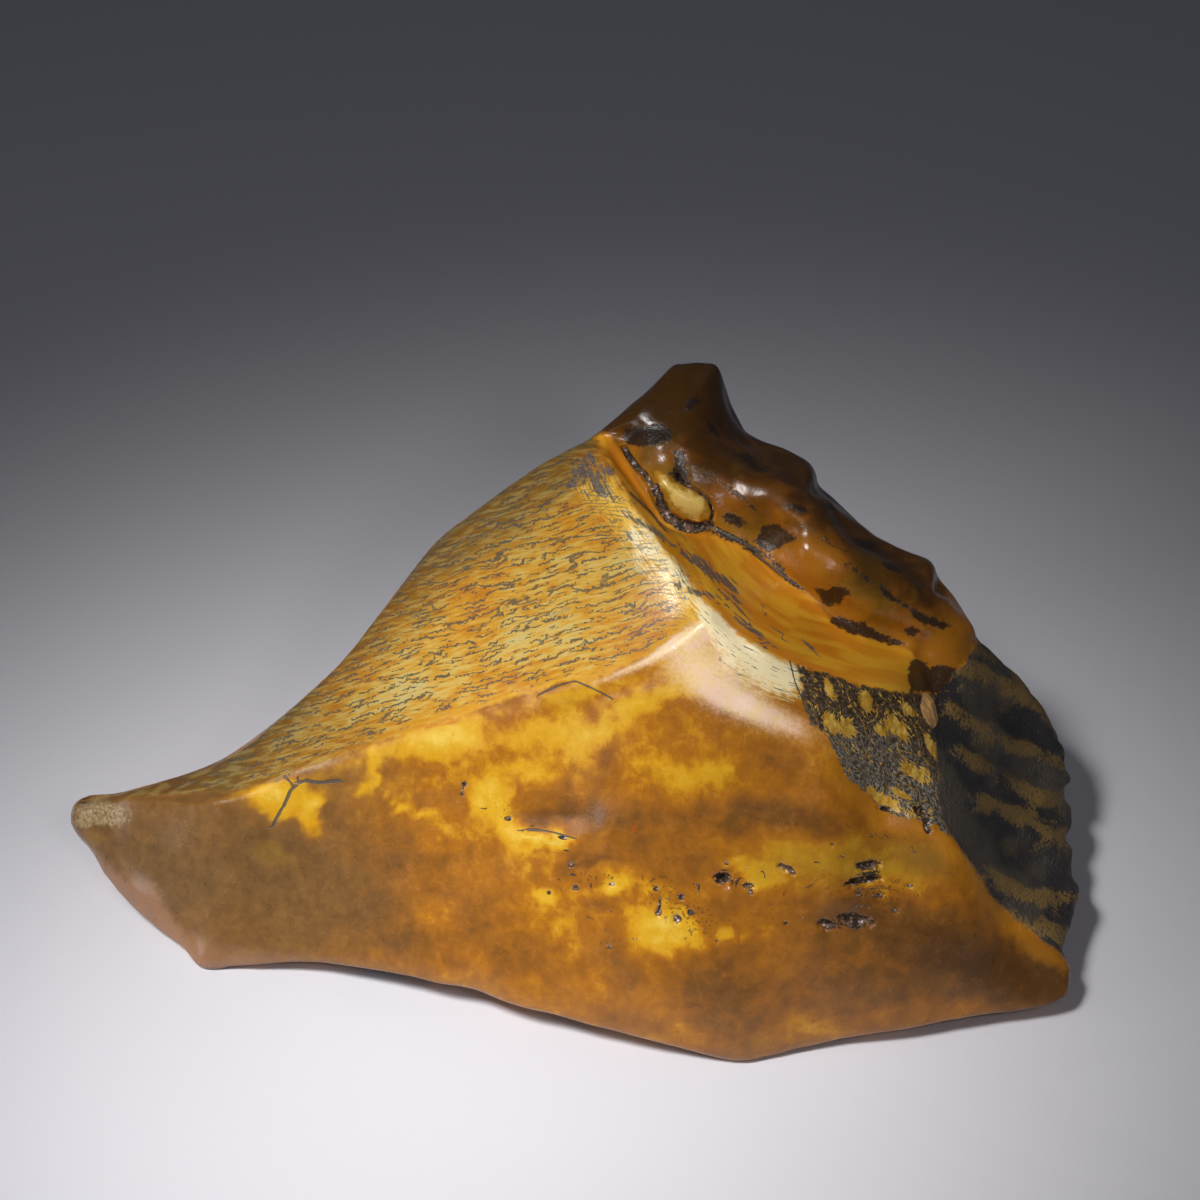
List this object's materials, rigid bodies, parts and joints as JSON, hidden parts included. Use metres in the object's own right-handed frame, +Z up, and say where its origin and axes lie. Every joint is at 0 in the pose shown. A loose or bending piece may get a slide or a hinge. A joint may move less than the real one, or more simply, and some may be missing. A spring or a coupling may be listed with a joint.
{
  "type": "agate stone",
  "caption": "Raw wind-polished agate: a tapering wedge with smooth waxy faces, a knobbly rind and a ribbed end, lying on a flat scar.",
  "frame": {"origin": "bottom centre of the bounding box, on the surface the stone lies on", "axes": "+X along the stone's length, from its thin tip to its ribbed end; +Y from the broad front face to the back; +Z up"},
  "size_m": [0.0948, 0.057, 0.0438],
  "materials": {
    "agate": "waxy wind-polished agate, orange-brown with yellow patches and dark grey streaks"
  },
  "bodies": {
    "root": {"agate": "agate"}
  },
  "joints": []
}
